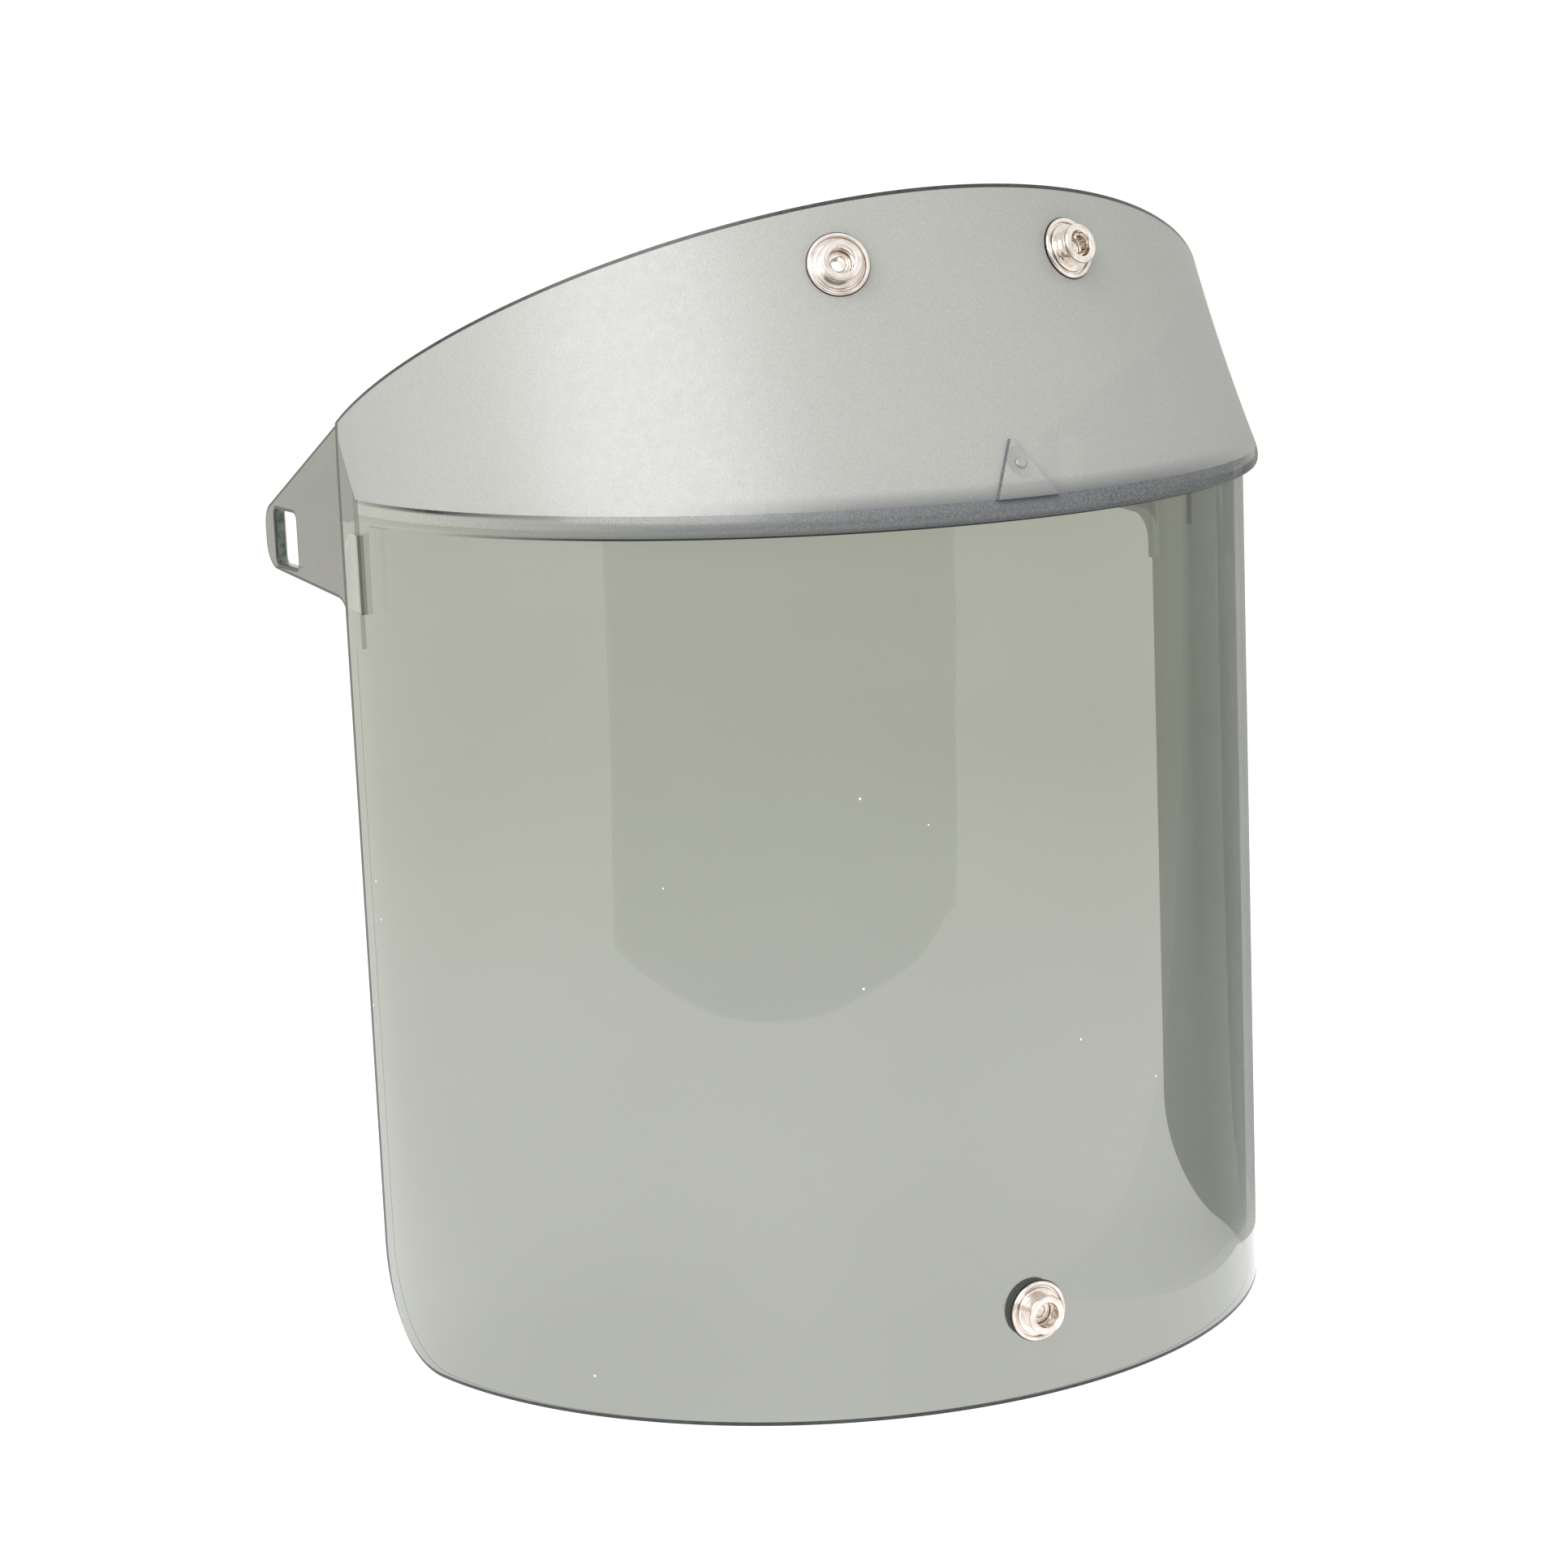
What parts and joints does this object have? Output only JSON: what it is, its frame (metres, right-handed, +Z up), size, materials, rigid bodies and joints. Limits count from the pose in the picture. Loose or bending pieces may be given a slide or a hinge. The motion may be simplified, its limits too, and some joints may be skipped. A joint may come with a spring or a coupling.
{
  "type": "face shield",
  "caption": "Curved tinted face shield moulded with a flared brow, rounded lip and slotted side ears, with riveted snap studs at brow and chin.",
  "frame": {"origin": "bottom centre of the bounding box: on the symmetry plane, level with the window's bottom rim, midway between the front of the lip and the rear of the ears", "axes": "-Y is the front of the shield, +Z is up, +X is the wearer's left; X = 0 is the plane of symmetry"},
  "size_m": [0.2022, 0.1568, 0.2428],
  "materials": {
    "tinted_plastic": "smoke-tinted see-through plastic, glossy window and ears, fine satin grain on the brow",
    "nickel_plate": "bright nickel plate",
    "dark_fibre": "matt black"
  },
  "bodies": {
    "root": {"visor": "tinted_plastic", "stud_upper_right": "nickel_plate", "stud_upper_left": "nickel_plate", "stud_lower": "nickel_plate", "eyelet_upper_right": "nickel_plate", "eyelet_upper_left": "nickel_plate", "eyelet_lower": "nickel_plate", "washer_upper_right": "dark_fibre", "washer_upper_left": "dark_fibre", "washer_lower": "dark_fibre"}
  },
  "joints": []
}
